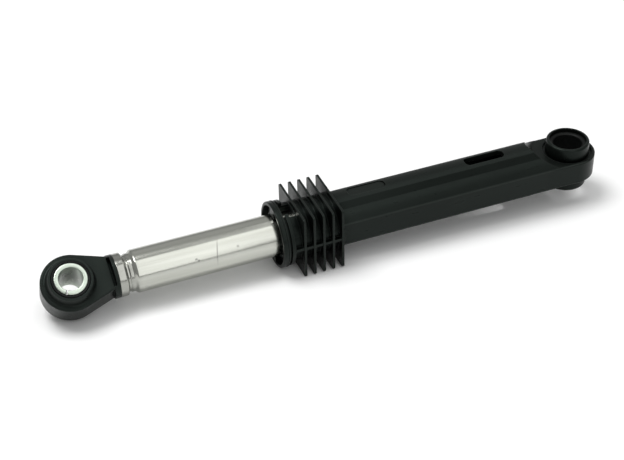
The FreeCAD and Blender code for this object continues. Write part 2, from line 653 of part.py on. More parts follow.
def make_rod_guide():
    """Moulded guide in the tube's inner end; its head runs in the barrel's long bore."""
    body = new_body("rod_guide")
    profile = new_sketch(body, "GuideProfile", "XZ_Plane")
    head = f"({BORE} - dims.guide_clearance)"
    spigot = "(dims.tube_radius - dims.tube_wall - dims.crimp_clearance)"
    back = f"({TUBE_START} - dims.guide_head_length)"
    tip = f"({TUBE_START} + dims.guide_spigot_length)"
    hole, lead = "dims.guide_bore_radius", "dims.guide_chamfer"
    polygon(profile, [
        (back, hole), (tip, hole), (tip, f"({spigot} - {lead})"), (f"({tip} - {lead})", spigot),
        *guide_groove(spigot, "dims.roll_shift"), (TUBE_START, spigot),
        (TUBE_START, f"({head} - {lead})"), (f"({TUBE_START} - {lead})", head),
        (f"({back} + {lead})", head), (back, f"({head} - {lead})"),
    ])
    turned(body, "GuideTurn", profile)
    return body


def roll_with_eye(body, at_eye=True):
    """Turns a rod piece about the damper's axis, and moves it to the rod eye's centre."""
    turn = FreeCAD.Rotation(FreeCAD.Vector(1, 0, 0), -1)
    body.Placement = FreeCAD.Placement(FreeCAD.Vector(), turn)
    body.setExpression("Placement.Rotation.Angle", "-dims.eye_roll")
    if at_eye:
        body.setExpression("Placement.Base.x", "dims.rest_length")


def make_rod_eye():
    """Moulded rod end: flat eye with a tapered neck, raised hub, collar and grooved spigot."""
    body = new_body("rod_eye")
    outline = new_sketch(body, "EyeOutline", "XY_Plane")
    radius = value(ROD_PLATE)
    collar_front = "(dims.collar_length - dims.eye_to_tube)"
    neck_half_width = "(dims.tube_radius - dims.plate_taper)"
    start = FreeCAD.Vector(value(collar_front), value(neck_half_width), 0)
    reach = start.Length
    slant = math.atan2(start.y, start.x) - math.acos(radius / reach)
    eye = Part.Circle(FreeCAD.Vector(), FreeCAD.Vector(0, 0, 1), radius)
    arc = Part.ArcOfCircle(eye, -slant, slant)
    mirrored_start = FreeCAD.Vector(start.x, -start.y, 0)
    rim = outline.addGeometry(arc)
    upper = outline.addGeometry(Part.LineSegment(arc.EndPoint, start))
    end = outline.addGeometry(Part.LineSegment(start, mirrored_start))
    lower = outline.addGeometry(Part.LineSegment(mirrored_start, arc.StartPoint))
    join(outline, rim, 3, -1, 1)
    join(outline, rim, 2, upper, 1, "Tangent")
    join(outline, upper, 2, end, 1)
    join(outline, end, 2, lower, 1)
    join(outline, lower, 2, rim, 1, "Tangent")
    drive(outline, "Radius", (rim,), ROD_PLATE)
    place_point(outline, end, 1, collar_front, neck_half_width)
    place_point(outline, end, 2, collar_front, f"(-{neck_half_width})")
    pad(body, "EyeThickness", outline, "2 * dims.plate_half_thickness", symmetric=True)
    plate_faces = ("dims.plate_half_thickness", "(-dims.plate_half_thickness)")

    def plate_edge(edge):
        middle = edge.valueAt((edge.FirstParameter + edge.LastParameter) / 2)
        on_face = any(abs(middle.z - value(face)) < 1e-4 for face in plate_faces)
        return on_face and middle.x > value(collar_front) + 1e-3
    round_edges(body, "PlateRound", "dims.plate_edge_round", plate_edge)

    hub = new_sketch(body, "HubProfile", "XZ_Plane")
    hub_end, face = "dims.eye_hub_half_height", "dims.plate_half_thickness"
    polygon(hub, [
        ("0", f"(-{hub_end})"), (ROD_HUB_TOP, f"(-{hub_end})"), (ROD_HUB_FOOT, f"(-{face})"),
        (ROD_HUB_FOOT, face), (ROD_HUB_TOP, hub_end), ("0", hub_end),
    ])
    turned(body, "HubTurn", hub, "V_Axis")
    round_edges(body, "HubFoot", "dims.eye_hub_fillet", ring_edge(ROD_HUB_FOOT, 2, *plate_faces))

    spigot = new_sketch(body, "SpigotProfile", "XZ_Plane")
    fit = "(dims.tube_radius - dims.tube_wall - dims.crimp_clearance)"
    seat = "(-dims.eye_to_tube)"
    tip = "(-dims.eye_to_tube - dims.spigot_length)"
    crimp = [
        (f"({place} - dims.rest_length)", depth)
        for place, depth in rolled_groove(fit, "dims.roll_shift")
    ]
    polygon(spigot, [
        (collar_front, "0"), (collar_front, "dims.tube_radius"), (seat, "dims.tube_radius"),
        (seat, fit), *crimp, (tip, fit), (tip, "dims.spigot_bore_radius"),
        (seat, "dims.spigot_bore_radius"), (seat, "0"),
    ])
    turned(body, "SpigotTurn", spigot)
    cut_through(body, "BushBore", circle(new_sketch(body, "BushHole", "XY_Plane"), ROD_BUSH))
    roll_with_eye(body)
    return body


def make_rod_eye_bush():
    """Rubber bush with a thin lip round each end."""
    body = new_body("rod_eye_bush")
    profile = new_sketch(body, "BushProfile", "XZ_Plane")
    inner = f"({BOLT_SLEEVE} + dims.press_clearance)"
    outer = f"({ROD_BUSH} - dims.press_clearance)"
    end, bevel = "(dims.eye_hub_half_height + dims.bush_reach)", "dims.bush_chamfer"
    lip_in = f"({BOLT_SLEEVE} + dims.lip_gap - dims.lip_half_width)"
    lip_out = f"({BOLT_SLEEVE} + dims.lip_gap + dims.lip_half_width)"
    lip_top = f"({end} + dims.lip_height)"
    half = [
        (outer, f"({end} - {bevel})"), (f"({outer} - {bevel})", end), (lip_out, end),
        (lip_out, lip_top), (lip_in, lip_top), (lip_in, end), (inner, end),
    ]
    lower = [(across, f"(-{up})") for across, up in half]
    polygon(profile, half + lower[::-1])
    turned(body, "BushTurn", profile, "V_Axis")
    roll_with_eye(body)
    return body


def make_rod_eye_sleeve():
    """Steel sleeve rolled from strip, open along one slit."""
    body = new_body("rod_eye_sleeve")
    length = "2 * (dims.eye_hub_half_height + dims.sleeve_reach)"
    outside = circle(new_sketch(body, "SleeveOutside", "XY_Plane"), BOLT_SLEEVE)
    pad(body, "SleeveLength", outside, length, symmetric=True)
    inside = circle(new_sketch(body, "SleeveInside", "XY_Plane"), "dims.sleeve_bore_radius")
    cut_through(body, "BoltHole", inside)
    slit = new_sketch(body, "SlitShape", "XY_Plane")
    slit.AttachmentOffset = FreeCAD.Placement(
        FreeCAD.Vector(), FreeCAD.Rotation(FreeCAD.Vector(0, 0, 1), -1)
    )
    slit.setExpression("AttachmentOffset.Rotation.Angle", "dims.slit_turn")
    half = "(dims.sleeve_slit / 2)"
    rectangle(
        slit, "(dims.sleeve_bore_radius / 2)", f"({BOLT_SLEEVE} + dims.cut_margin)", f"(-{half})", half,
    )
    cut_through(body, "Slit", slit)
    roll_with_eye(body)
    return body


def make_barrel_eye_bush():
    """Bush pressed into the barrel eye, sunk a little below the hub's ends."""
    body = new_body("barrel_eye_bush")
    profile = new_sketch(body, "PinBushProfile", "XZ_Plane")
    inner, outer = "dims.pin_hole_radius", f"({PIN_BUSH} - dims.press_clearance)"
    end, lead = "(dims.hub_half_height - dims.pin_bush_sink)", "dims.pin_bush_chamfer"
    half = [(outer, end), (f"({inner} + {lead})", end), (inner, f"({end} - {lead})")]
    lower = [(across, f"(-{up})") for across, up in half]
    polygon(profile, half + lower[::-1])
    turned(body, "PinBushTurn", profile, "V_Axis")
    return body


rear_lining = f"({CHAMBER_END} + dims.seat_clearance)"
spacer = f"({rear_lining} + {LINING_LENGTH} + dims.seat_clearance)"
front_lining = f"({spacer} + dims.spacer_length + dims.seat_clearance)"
lining_bore = "(dims.tube_radius + dims.lining_clearance)"
rod_tube = make_rod_tube()
roll_with_eye(rod_tube, at_eye=False)
sub_parts = [
    make_barrel(),
    make_mouth_cap(),
    make_ring("friction_lining_front", front_lining, LINING_LENGTH, lining_bore, SEATED_RADIUS, split=True),
    make_ring("lining_spacer", spacer, "dims.spacer_length", SLIDE_RADIUS, SEATED_RADIUS),
    make_ring("friction_lining_rear", rear_lining, LINING_LENGTH, lining_bore, SEATED_RADIUS, split=True),
    make_retaining_sleeve(),
    make_barrel_eye_bush(),
    make_rod_guide(),
    rod_tube,
    make_rod_eye(),
    make_rod_eye_bush(),
    make_rod_eye_sleeve(),
]
doc.recompute()

for item in doc.Objects:
    if "Invalid" in item.State or "Error" in item.State:
        raise RuntimeError(f"{item.Name} failed: {item.State}")
for body in sub_parts:
    if body.Shape.isNull() or not body.Shape.isValid() or len(body.Shape.Solids) != 1:
        raise RuntimeError(f"{body.Label} is not one valid solid")

os.makedirs("parts", exist_ok=True)
for body in sub_parts:
    body.Shape.exportStep(f"parts/{body.Label}.step")
    box = body.Shape.BoundBox
    print(f"{body.Label}: {body.Shape.Volume:.1f} mm3, X {box.XMin:.2f} to {box.XMax:.2f}, "
          f"Y {box.YMin:.2f} to {box.YMax:.2f}, Z {box.ZMin:.2f} to {box.ZMax:.2f}")
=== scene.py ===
import json
import math

import bmesh
import bpy
import numpy as np
from mathutils import Matrix, Vector


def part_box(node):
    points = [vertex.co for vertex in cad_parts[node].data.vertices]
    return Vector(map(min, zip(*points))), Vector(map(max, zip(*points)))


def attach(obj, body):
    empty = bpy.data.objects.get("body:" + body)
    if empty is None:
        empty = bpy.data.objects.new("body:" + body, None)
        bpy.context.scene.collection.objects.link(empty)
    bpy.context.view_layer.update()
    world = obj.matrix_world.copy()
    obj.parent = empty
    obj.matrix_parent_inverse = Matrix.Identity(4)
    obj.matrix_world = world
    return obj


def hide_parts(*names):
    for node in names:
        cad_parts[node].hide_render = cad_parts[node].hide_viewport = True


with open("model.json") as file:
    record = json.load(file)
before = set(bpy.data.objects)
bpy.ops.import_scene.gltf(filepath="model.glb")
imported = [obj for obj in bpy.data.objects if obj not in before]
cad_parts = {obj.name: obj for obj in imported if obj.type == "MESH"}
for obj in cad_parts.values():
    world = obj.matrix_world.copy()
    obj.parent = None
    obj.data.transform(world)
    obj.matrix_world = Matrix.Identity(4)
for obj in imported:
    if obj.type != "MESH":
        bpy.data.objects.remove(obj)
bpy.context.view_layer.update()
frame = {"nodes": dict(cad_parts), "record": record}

# Barrel: one moulding in black glass-filled nylon, with the pin eye, the long eight-sided body,
# the slots, the square fins and the mouth. It comes semi-matt from the mould, with faint flow
# marks along its length and edges painted a little paler, partly as wear and partly as a painted
# highlight. Its hollows are darkened with painted shade, and a painted highlight runs along its
# ridges.
MM = 0.001
solids = frame["nodes"]


def add_node(material, kind, place, **inputs):
    """Adds one shader node and sets its properties or its sockets' plain values by name."""
    node = material.node_tree.nodes.new(kind)
    node.location = place
    for name, value in inputs.items():
        if hasattr(node, name):
            setattr(node, name, value)
        else:
            node.inputs[name.replace("_", " ")].default_value = value
    return node


def new_material(name, **sockets):
    """Material with its Principled shader, whose plain sockets are set here."""
    material = bpy.data.materials.new(name)
    material.use_nodes = True
    shader = material.node_tree.nodes["Principled BSDF"]
    for socket, value in sockets.items():
        shader.inputs[socket.replace("_", " ")].default_value = value
    return material, shader


def link(material, start, end):
    """Joins an output socket to an input socket."""
    material.node_tree.links.new(start, end)


def combine(material, operation, first, second, place):
    """Product, larger value or other result of two sockets."""
    node = add_node(material, "ShaderNodeMath", place, operation=operation)
    link(material, first, node.inputs[0])
    link(material, second, node.inputs[1])
    return node.outputs["Value"]


def noise_on_object(material, per_metre, stretch=(1, 1, 1), detail=3.0, place=(-900, 0)):
    """Noise over the piece's own coordinates, in features per metre, stretched by axis."""
    x, y = place
    where = add_node(material, "ShaderNodeTexCoord", (x - 400, y))
    mapping = add_node(material, "ShaderNodeMapping", (x - 200, y), Scale=stretch)
    noise = add_node(material, "ShaderNodeTexNoise", (x, y), Scale=per_metre, Detail=detail)
    link(material, where.outputs["Object"], mapping.inputs["Vector"])
    link(material, mapping.outputs["Vector"], noise.inputs["Vector"])
    return noise.outputs["Fac"]


def spread(material, source, low, high, start=0.3, end=0.7, place=(-600, 0)):
    """Carries a value's range from start to end over to the range from low to high."""
    remap = add_node(
        material, "ShaderNodeMapRange", place,
        From_Min=start, From_Max=end, To_Min=low, To_Max=high,
    )
    link(material, source, remap.inputs["Value"])
    return remap.outputs["Result"]


# Places of the colour sockets on a Mix node.
FIRST_COLOUR, SECOND_COLOUR, MIXED_COLOUR = 6, 7, 2


def blend_colours(material, factor, first, second, place=(-400, 200)):
    """Goes from the first colour to the second with the factor; each is plain or a socket."""
    mix = add_node(material, "ShaderNodeMix", place, data_type="RGBA")
    for index, colour in ((FIRST_COLOUR, first), (SECOND_COLOUR, second)):
        if isinstance(colour, bpy.types.NodeSocket):
            link(material, colour, mix.inputs[index])
        else:
            mix.inputs[index].default_value = (*colour, 1.0)
    link(material, factor, mix.inputs["Factor"])
    return mix.outputs[MIXED_COLOUR]


def rounded_edges(material, radius, wear_and_sheen_radius, place=(-600, -600)):
    """Normal that runs smoothly round the edges, and how flat a place is within a wider radius."""
    x, y = place
    bevel = add_node(material, "ShaderNodeBevel", (x, y), samples=6, Radius=radius)
    wide = add_node(material, "ShaderNodeBevel", (x, y - 150), samples=6, Radius=wear_and_sheen_radius)
    flat = add_node(material, "ShaderNodeNewGeometry", (x, y - 300))
    dot = add_node(
        material, "ShaderNodeVectorMath", (x + 200, y - 200), operation="DOT_PRODUCT"
    )
    link(material, wide.outputs["Normal"], dot.inputs[0])
    link(material, flat.outputs["Normal"], dot.inputs[1])
    return bevel.outputs["Normal"], dot.outputs["Value"]


def bumped(material, normal, layers, place=(-200, -500)):
    """Lays height patterns, given as (height, depth in metres), over a normal."""
    x, y = place
    for index, (height, depth) in enumerate(layers):
        bump = add_node(
            material, "ShaderNodeBump", (x, y - 200 * index), Strength=1.0, Distance=depth
        )
        link(material, height, bump.inputs["Height"])
        if normal is not None:
            link(material, normal, bump.inputs["Normal"])
        normal = bump.outputs["Normal"]
    return normal


# Reach, in metres, along an axis on which a mark has no end.
ENDLESS = 1000.0


def nearness(
    material, centre, reach, strength, turn=0.0, core=0.4, mirrored=False, place=(-600, 700)
):
    """Strength of a mark: full in its core, a share of its reach, and none from its reach on.

    The distance from the centre is measured in reaches along the piece's own axes, turned about
    Z by the given angle. A mirrored mark is there on both sides of the middle along each axis.
    """
    x, y = place
    where = add_node(material, "ShaderNodeTexCoord", (x - 800, y)).outputs["Object"]
    if mirrored:
        fold = add_node(material, "ShaderNodeVectorMath", (x - 600, y), operation="ABSOLUTE")
        link(material, where, fold.inputs[0])
        where = fold.outputs["Vector"]
    mapping = add_node(
        material, "ShaderNodeMapping", (x - 400, y), vector_type="TEXTURE",
        Location=centre, Rotation=(0, 0, turn), Scale=reach,
    )
    length = add_node(material, "ShaderNodeVectorMath", (x - 200, y), operation="LENGTH")
    link(material, where, mapping.inputs["Vector"])
    link(material, mapping.outputs["Vector"], length.inputs[0])
    return spread(
        material, length.outputs["Value"], strength, 0.0, start=core, end=1.0, place=place
    )


def black_moulding(name, dark, pale, rubbed_and_sheen, flow, ridge_highlights=None, edge_radius=0.35 * MM):
    """Black nylon: painted shade in hollows, mottled, edges painted paler (wear and highlight),
    flow marks and grain.
    """
    wear_and_sheen_radius, painted_shade_reach = 0.8 * MM, 6.0 * MM
    swell_depth, grain_depth = 0.02 * MM, 0.018 * MM
    material, shader = new_material(
        name, Specular_IOR_Level=0.14, Specular_Tint=(0.8, 1.0, 0.9, 1.0)
    )
    normal, flatness = rounded_edges(material, edge_radius, wear_and_sheen_radius)
    # Ambient occlusion pulls the colour to the dark tone in hollows, gaps and between parts:
    # painted shade.
    hollow_shade_probe = add_node(
        material, "ShaderNodeAmbientOcclusion", (-1200, 700), samples=6, Distance=painted_shade_reach
    )
    painted_shade_openness = spread(material, hollow_shade_probe.outputs["AO"], 0.0, 1.0, start=0.5, end=0.95)
    cloud = noise_on_object(material, per_metre=70, stretch=flow, place=(-1200, 400))
    tone = combine(material, "MULTIPLY", painted_shade_openness, spread(material, cloud, 0.7, 1.0), (-700, 500))
    colour = blend_colours(material, tone, dark, pale)
    # Edges painted paler: partly wear, partly a painted highlight along the rounded edges.
    worn_and_sheen = spread(material, flatness, 0.55, 0.0, start=0.8, end=0.99, place=(-400, -700))
    # A painted highlight along the ridge lines joins the paler edges.
    if ridge_highlights is not None:
        worn_and_sheen = combine(material, "MAXIMUM", worn_and_sheen, nearness(material, **ridge_highlights), (-250, 700))
    colour = blend_colours(material, worn_and_sheen, colour, rubbed_and_sheen, place=(-150, 250))
    link(material, colour, shader.inputs["Base Color"])
    mottle = noise_on_object(material, per_metre=320, stretch=flow, place=(-1200, 0))
    link(material, spread(material, mottle, 0.26, 0.36), shader.inputs["Roughness"])
    grain = noise_on_object(material, per_metre=2600, place=(-1200, -300))
    swell = noise_on_object(material, per_metre=240, stretch=flow, place=(-1200, -500))
    normal = bumped(material, normal, [(swell, swell_depth), (grain, grain_depth)])
    link(material, normal, shader.inputs["Normal"])
    return material


def dress(piece, material):
    """Gives a piece its finish, in place of any that it came with."""
    piece.data.materials.clear()
    piece.data.materials.append(material)


ALONG_BARREL = (0.25, 1.0, 1.0)
# Painted highlight along the ridge lines between the sloping panels and the sides, mirrored to all
# four.
ridge_highlight_lines = dict(
    centre=(0.0, 13.0 * MM, 5.6 * MM), reach=(ENDLESS, 0.6 * MM, 0.6 * MM),
    strength=0.7, core=0.3, mirrored=True,
)
barrel_black = black_moulding(
    "barrel_black_nylon", dark=(0.0005, 0.0007, 0.0006), pale=(0.0074, 0.009, 0.008),
    rubbed_and_sheen=(0.026, 0.03, 0.0275), flow=ALONG_BARREL, ridge_highlights=ridge_highlight_lines,
)
dress(solids["barrel"], barrel_black)


# Barrel eye bush: a short black rubber tube, pressed into the hub and sunk below its ends, with
# a lead round its hole for the pin.
def rounded_loop(corners, radii, steps=6):
    """Closed outline whose corners become arcs tangent to both their sides.

    For a corner with unit vectors a and b along its sides, the arc's ends lie at the radius
    divided by the tangent of the half angle, and its points turn evenly about its centre.
    """
    corners = np.asarray(corners, float)
    radii = np.broadcast_to(np.asarray(radii, float), len(corners))[:, None]
    to_last = np.roll(corners, 1, axis=0) - corners
    to_next = np.roll(corners, -1, axis=0) - corners
    to_last /= np.linalg.norm(to_last, axis=1, keepdims=True)
    to_next /= np.linalg.norm(to_next, axis=1, keepdims=True)
    half = np.arccos(np.clip((to_last * to_next).sum(1), -1, 1))[:, None] / 2
    middle = to_last + to_next
    middle /= np.linalg.norm(middle, axis=1, keepdims=True)
    centre = corners + middle * radii / np.sin(half)
    first = corners + to_last * radii / np.tan(half) - centre
    last = corners + to_next * radii / np.tan(half) - centre
    sweep = math.pi - 2 * half
    share = np.linspace(0, 1, steps)[None, :]
    weight_first = np.sin((1 - share) * sweep) / np.sin(sweep)
    weight_last = np.sin(share * sweep) / np.sin(sweep)
    arcs = weight_first[..., None] * first[:, None] + weight_last[..., None] * last[:, None]
    return (centre[:, None] + arcs).reshape(-1, 2)


def add_object(name, data):
    """Puts a mesh, a lamp or a camera into the scene as an object at the origin."""
    thing = bpy.data.objects.new(name, data)
    bpy.context.scene.collection.objects.link(thing)
    return thing


def fit_piece(name, mesh, body, node):
    """Sets a smooth piece with even normals in the place of a solid of the frame."""
    piece = add_object(name, mesh)
    piece.modifiers.new("even_normals", "WEIGHTED_NORMAL").keep_sharp = True
    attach(piece, body)
    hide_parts(node)
    return piece


def turned_piece(name, profile, centre, axis, start_dir, body, node, segments=128, gap=None):
    """Profile of (radius, height) carried round an axis, in metres.

    A point at angle u is centre + height * axis + radius * (cos u * start_dir + sin u * side).
    With a gap (from, to) of angle the ring stays open there and its two ends are closed flat.
    Faces point outwards for a profile that runs anticlockwise, and are turned round otherwise.
    """
    axis = np.asarray(axis, float) / np.linalg.norm(axis)
    start_dir = np.asarray(start_dir, float)
    start_dir = start_dir - axis * (start_dir @ axis)
    start_dir /= np.linalg.norm(start_dir)
    side = np.cross(axis, start_dir)
    if gap is None:
        angles = np.linspace(0, 2 * math.pi, segments, endpoint=False)
    else:
        angles = np.linspace(gap[1], gap[0] + 2 * math.pi, segments)
    around = np.cos(angles)[:, None] * start_dir + np.sin(angles)[:, None] * side
    radius, height = profile.T
    rise = height[None, :, None] * axis
    points = np.asarray(centre) + rise + radius[None, :, None] * around[:, None]
    count = len(profile)
    columns = np.arange(segments if gap is None else segments - 1)[:, None]
    rows = np.arange(count)[None, :]
    next_column, next_row = (columns + 1) % segments, (rows + 1) % count
    quads = np.stack(np.broadcast_arrays(
        columns * count + rows, next_column * count + rows,
        next_column * count + next_row, columns * count + next_row,
    ), axis=-1).reshape(-1, 4)
    faces = quads.tolist()
    if gap is not None:
        faces.append(list(range(count)))
        faces.append(list(range((segments - 1) * count, segments * count))[::-1])
    area = (radius * np.roll(height, -1) - np.roll(radius, -1) * height).sum()
    if area < 0:
        faces = [face[::-1] for face in faces]
    mesh = bpy.data.meshes.new(name)
    mesh.from_pydata(points.reshape(-1, 3).tolist(), [], faces)
    mesh.shade_smooth()
    return fit_piece(name, mesh, body, node)


def both_ends(half_corners):
    """Corners of one half of a profile, followed by their mirror images below the middle."""
    return half_corners + [(radius, -height) for radius, height in half_corners[::-1]]


def black_rubber(name):
    """Moulded rubber: satin black with a bloom of paler patches and a fine skin."""
    dark, pale = (0.0022, 0.0027, 0.0024), (0.0045, 0.0053, 0.0049)
    skin_depth = 0.02 * MM
    material, shader = new_material(name, Specular_IOR_Level=0.2)
    patches = noise_on_object(material, per_metre=180, place=(-1200, 300))
    bloom = spread(material, patches, 0.0, 1.0)
    link(material, blend_colours(material, bloom, dark, pale), shader.inputs["Base Color"])
    mottle = noise_on_object(material, per_metre=700, place=(-1200, 0))
    link(material, spread(material, mottle, 0.42, 0.62), shader.inputs["Roughness"])
    skin = noise_on_object(material, per_metre=3200, place=(-1200, -300))
    link(material, bumped(material, None, [(skin, skin_depth)]), shader.inputs["Normal"])
    return material


mounts = {mount["name"]: mount for mount in frame["record"]["mounts"]}
pin_eye = mounts["pin_eye"]
bush_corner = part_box("barrel_eye_bush")[1]
pin_bush_outer, pin_bush_end = bush_corner.x, bush_corner.z
pin_hole = pin_eye["dims"]["r_mm"] * MM
pin_lead = pin_bush_end - pin_eye["dims"]["length_mm"] * MM / 2
pin_bush_edge = 0.2 * MM
pin_bush_corners = both_ends([
    (pin_bush_outer, pin_bush_end), (pin_hole + pin_lead, pin_bush_end),
    (pin_hole, pin_bush_end - pin_lead),
])
barrel_eye_bush = turned_piece(
    "barrel_eye_bush_turned", rounded_loop(pin_bush_corners, pin_bush_edge),
    centre=pin_eye["pos_m"], axis=pin_eye["axis"], start_dir=(1, 0, 0),
    body="barrel", node="barrel_eye_bush",
)
dress(barrel_eye_bush, black_rubber("pin_bush_rubber"))


# Retaining sleeve: a black nylon sleeve behind the linings. Only its two lugs show, snapped into
# the slots of the barrel's crowned pads.
sleeve_black = black_moulding(
    "sleeve_black_nylon", dark=(0.0008, 0.001, 0.0009), pale=(0.0095, 0.0115, 0.0102),
    rubbed_and_sheen=(0.026, 0.03, 0.0275), flow=ALONG_BARREL,
)
dress(solids["retaining_sleeve"], sleeve_black)


# Friction linings: two strips of open-cell foam soaked in grease, bent round the tube, with a
# plain nylon ring between them. They are closed in behind the mouth cap.
cell_depth = 0.2 * MM
foam, foam_shader = new_material("greased_foam", Specular_IOR_Level=0.4)
cells = noise_on_object(foam, per_metre=1800, place=(-1200, 0))
foam_tone = blend_colours(
    foam, spread(foam, cells, 0.0, 1.0), first=(0.12, 0.1, 0.06), second=(0.3, 0.26, 0.18)
)
link(foam, foam_tone, foam_shader.inputs["Base Color"])
link(foam, spread(foam, cells, 0.3, 0.85), foam_shader.inputs["Roughness"])
link(foam, bumped(foam, None, [(cells, cell_depth)]), foam_shader.inputs["Normal"])
dress(solids["friction_lining_front"], foam)
dress(solids["friction_lining_rear"], foam)
dress(solids["lining_spacer"], sleeve_black)


# Mouth cap: a black nylon ring, snapped into the barrel's mouth, whose collar guides the tube.
# Its lip is rounded and a ring pocket runs round its front.
cap_black = black_moulding(
    "cap_black_nylon", dark=(0.0005, 0.0007, 0.0006), pale=(0.0074, 0.009, 0.008),
    rubbed_and_sheen=(0.028, 0.032, 0.0295), flow=(1, 1, 1), edge_radius=0.12 * MM,
)
dress(solids["mouth_cap"], cap_black)


# Rod guide: a short plug of natural acetal in the tube's inner end, turning in the tube and
# running in the barrel's bore. It is out of sight inside the barrel.
acetal, acetal_shader = new_material("natural_acetal", Specular_IOR_Level=0.5)
cloud = spread(acetal, noise_on_object(acetal, per_metre=140, place=(-1200, 200)), 0.0, 1.0)
acetal_tone = blend_colours(acetal, cloud, first=(0.55, 0.53, 0.46), second=(0.66, 0.64, 0.58))
link(acetal, acetal_tone, acetal_shader.inputs["Base Color"])
polish = noise_on_object(acetal, per_metre=500, place=(-1200, -100))
link(acetal, spread(acetal, polish, 0.25, 0.4), acetal_shader.inputs["Roughness"])
dress(solids["rod_guide"], acetal)


# Rod tube: drawn steel tube, polished bright, with a groove rolled in near the rod eye that locks
# it to the eye's spigot, and a small one near its inner end for the guide. Their edges are rolled
# round. A fine slanting scratch, a scuff and a speck mark the polish.
low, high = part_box("rod_tube")
tube_inner_end, tube_outer_end, tube_radius = low.x, high.x, high.y
tube_wall = 1.0 * MM

# Steps from the tube's outer end inwards: the lip, the groove's fall, its floor, the rise to a low
# flat, the flat, and the rise to the full radius.
groove_steps = np.array([3.5, 0.8, 0.8, 0.5, 1.5, 1.3]) * MM
groove_depth, flat_depth = 1.5 * MM, 1.15 * MM
groove_depths = [0.0, groove_depth, groove_depth, flat_depth, flat_depth, 0.0]
groove_rounds = np.array([0.7, 0.3, 0.2, 0.2, 0.5, 1.2]) * MM

# The guide's groove is the same on both sides of its middle.
guide_inset, guide_half_top, guide_half_floor = 4.5 * MM, 1.0 * MM, 0.4 * MM
guide_sides = np.array([guide_half_top, guide_half_floor, -guide_half_floor, -guide_half_top])
guide_depth = 0.6 * MM
guide_depths = [0.0, guide_depth, guide_depth, 0.0]
guide_rounds = np.full(len(guide_sides), 0.2 * MM)

roll_places = np.concatenate([
    tube_outer_end - np.cumsum(groove_steps), tube_inner_end + guide_inset + guide_sides,
])
roll_depths = np.concatenate([groove_depths, guide_depths])

# Where each corner lies from its groove's middle: 1 towards the outer end, -1 towards the inner.
roll_sides = np.array([1, 1, -1, -1, -1, -1, 1, 1, -1, -1])


def wall_face(radius, widening):
    """Corners (radius, X) of one face of the tube's wall, with both grooves widened each way."""
    rolls = np.column_stack([radius - roll_depths, roll_places + widening * roll_sides])
    return np.concatenate([[(radius, tube_outer_end)], rolls, [(radius, tube_inner_end)]])


outside = wall_face(tube_radius, widening=0.0)
inside = wall_face(tube_radius - tube_wall, widening=0.6 * MM)
end_round, inside_round = 0.25 * MM, 0.15 * MM
tube_rounds = np.concatenate([
    [end_round], groove_rounds, guide_rounds, [end_round], np.full(len(inside), inside_round),
])
rod_tube = turned_piece(
    "rod_tube_rolled", rounded_loop(np.concatenate([outside, inside[::-1]]), tube_rounds),
    centre=(0, 0, 0), axis=(1, 0, 0), start_dir=(0, 0, 1),
    body="rod", node="rod_tube", segments=160,
)


def bright_steel(name, dull, bright, smooth, rough, across, marks):
    """Polished steel: cloudy tone, fine polishing lines, smears in the gloss, dark marks and
    painted shade.
    """
    stain_and_shade = (0.2, 0.2, 0.19)
    # One dark tone serves the real marks and the painted shade.
    wave_depth, line_depth = 0.05 * MM, 0.003 * MM
    material, shader = new_material(name, Metallic=1.0)
    cloudy = noise_on_object(
        material, per_metre=150, stretch=across, detail=6.0, place=(-1200, 400)
    )
    tone = blend_colours(material, spread(material, cloudy, 0.0, 1.0), dull, bright)
    for index, mark in enumerate(marks):
        strength = nearness(material, **mark, place=(-600, 700 + 300 * index))
        tone = blend_colours(material, strength, tone, stain_and_shade, place=(150 * index, 400))
    link(material, tone, shader.inputs["Base Color"])
    smear = noise_on_object(material, per_metre=160, stretch=across, place=(-1200, 100))
    link(material, spread(material, smear, smooth, rough), shader.inputs["Roughness"])
    lines = noise_on_object(
        material, per_metre=1500, stretch=across, detail=6.0, place=(-1200, -200)
    )
    wave = noise_on_object(material, per_metre=60, place=(-1200, -400))
    normal = bumped(material, None, [(wave, wave_depth), (lines, line_depth)])
    link(material, normal, shader.inputs["Normal"])
    return material


DRAWN_LINES = (0.08, 2.0, 2.0)
scratch = dict(
    centre=(184.43 * MM, 7.3 * MM, 4.5 * MM), reach=(0.45 * MM, 6.5 * MM, 7.2 * MM),
    strength=0.65, turn=math.radians(-19.8),
)
scuff = dict(
    centre=(194.9 * MM, 8.83 * MM, 4.7 * MM), reach=(0.9 * MM, 0.6 * MM, 0.6 * MM), strength=0.85,
)
scuff_tail = dict(
    centre=(193.85 * MM, 9.18 * MM, 3.97 * MM), reach=(0.9 * MM, 0.5 * MM, 0.6 * MM),
    strength=0.85,
)
speck = dict(
    centre=(174.9 * MM, 8.24 * MM, 5.66 * MM), reach=(0.8 * MM, 0.8 * MM, 0.8 * MM), strength=0.5,
)
# Darkens the tube's colour towards its outer end, near the eye.
end_darkening = dict(
    centre=(227.5 * MM, 0.0, 0.0), reach=(7.0 * MM, ENDLESS, ENDLESS), strength=0.45,
)
tube_steel = bright_steel(
    "polished_tube_steel", dull=(0.415, 0.422, 0.382), bright=(0.525, 0.532, 0.488),
    smooth=0.15, rough=0.24, across=DRAWN_LINES,
    marks=(scratch, scuff, scuff_tail, speck, end_darkening),
)
dress(rod_tube, tube_steel)


# Rod eye: one black nylon moulding with the flat eye, its raised hub, and the collar and spigot
# that the tube is rolled on to. A narrow slot is moulded between the plate and the collar on both
# faces, so that the wall stays even.
bolt = mounts["bolt_sleeve"]
bolt_centre, bolt_axis = np.array(bolt["pos_m"]), np.array(bolt["axis"])
along_rod = np.array((1.0, 0.0, 0.0))


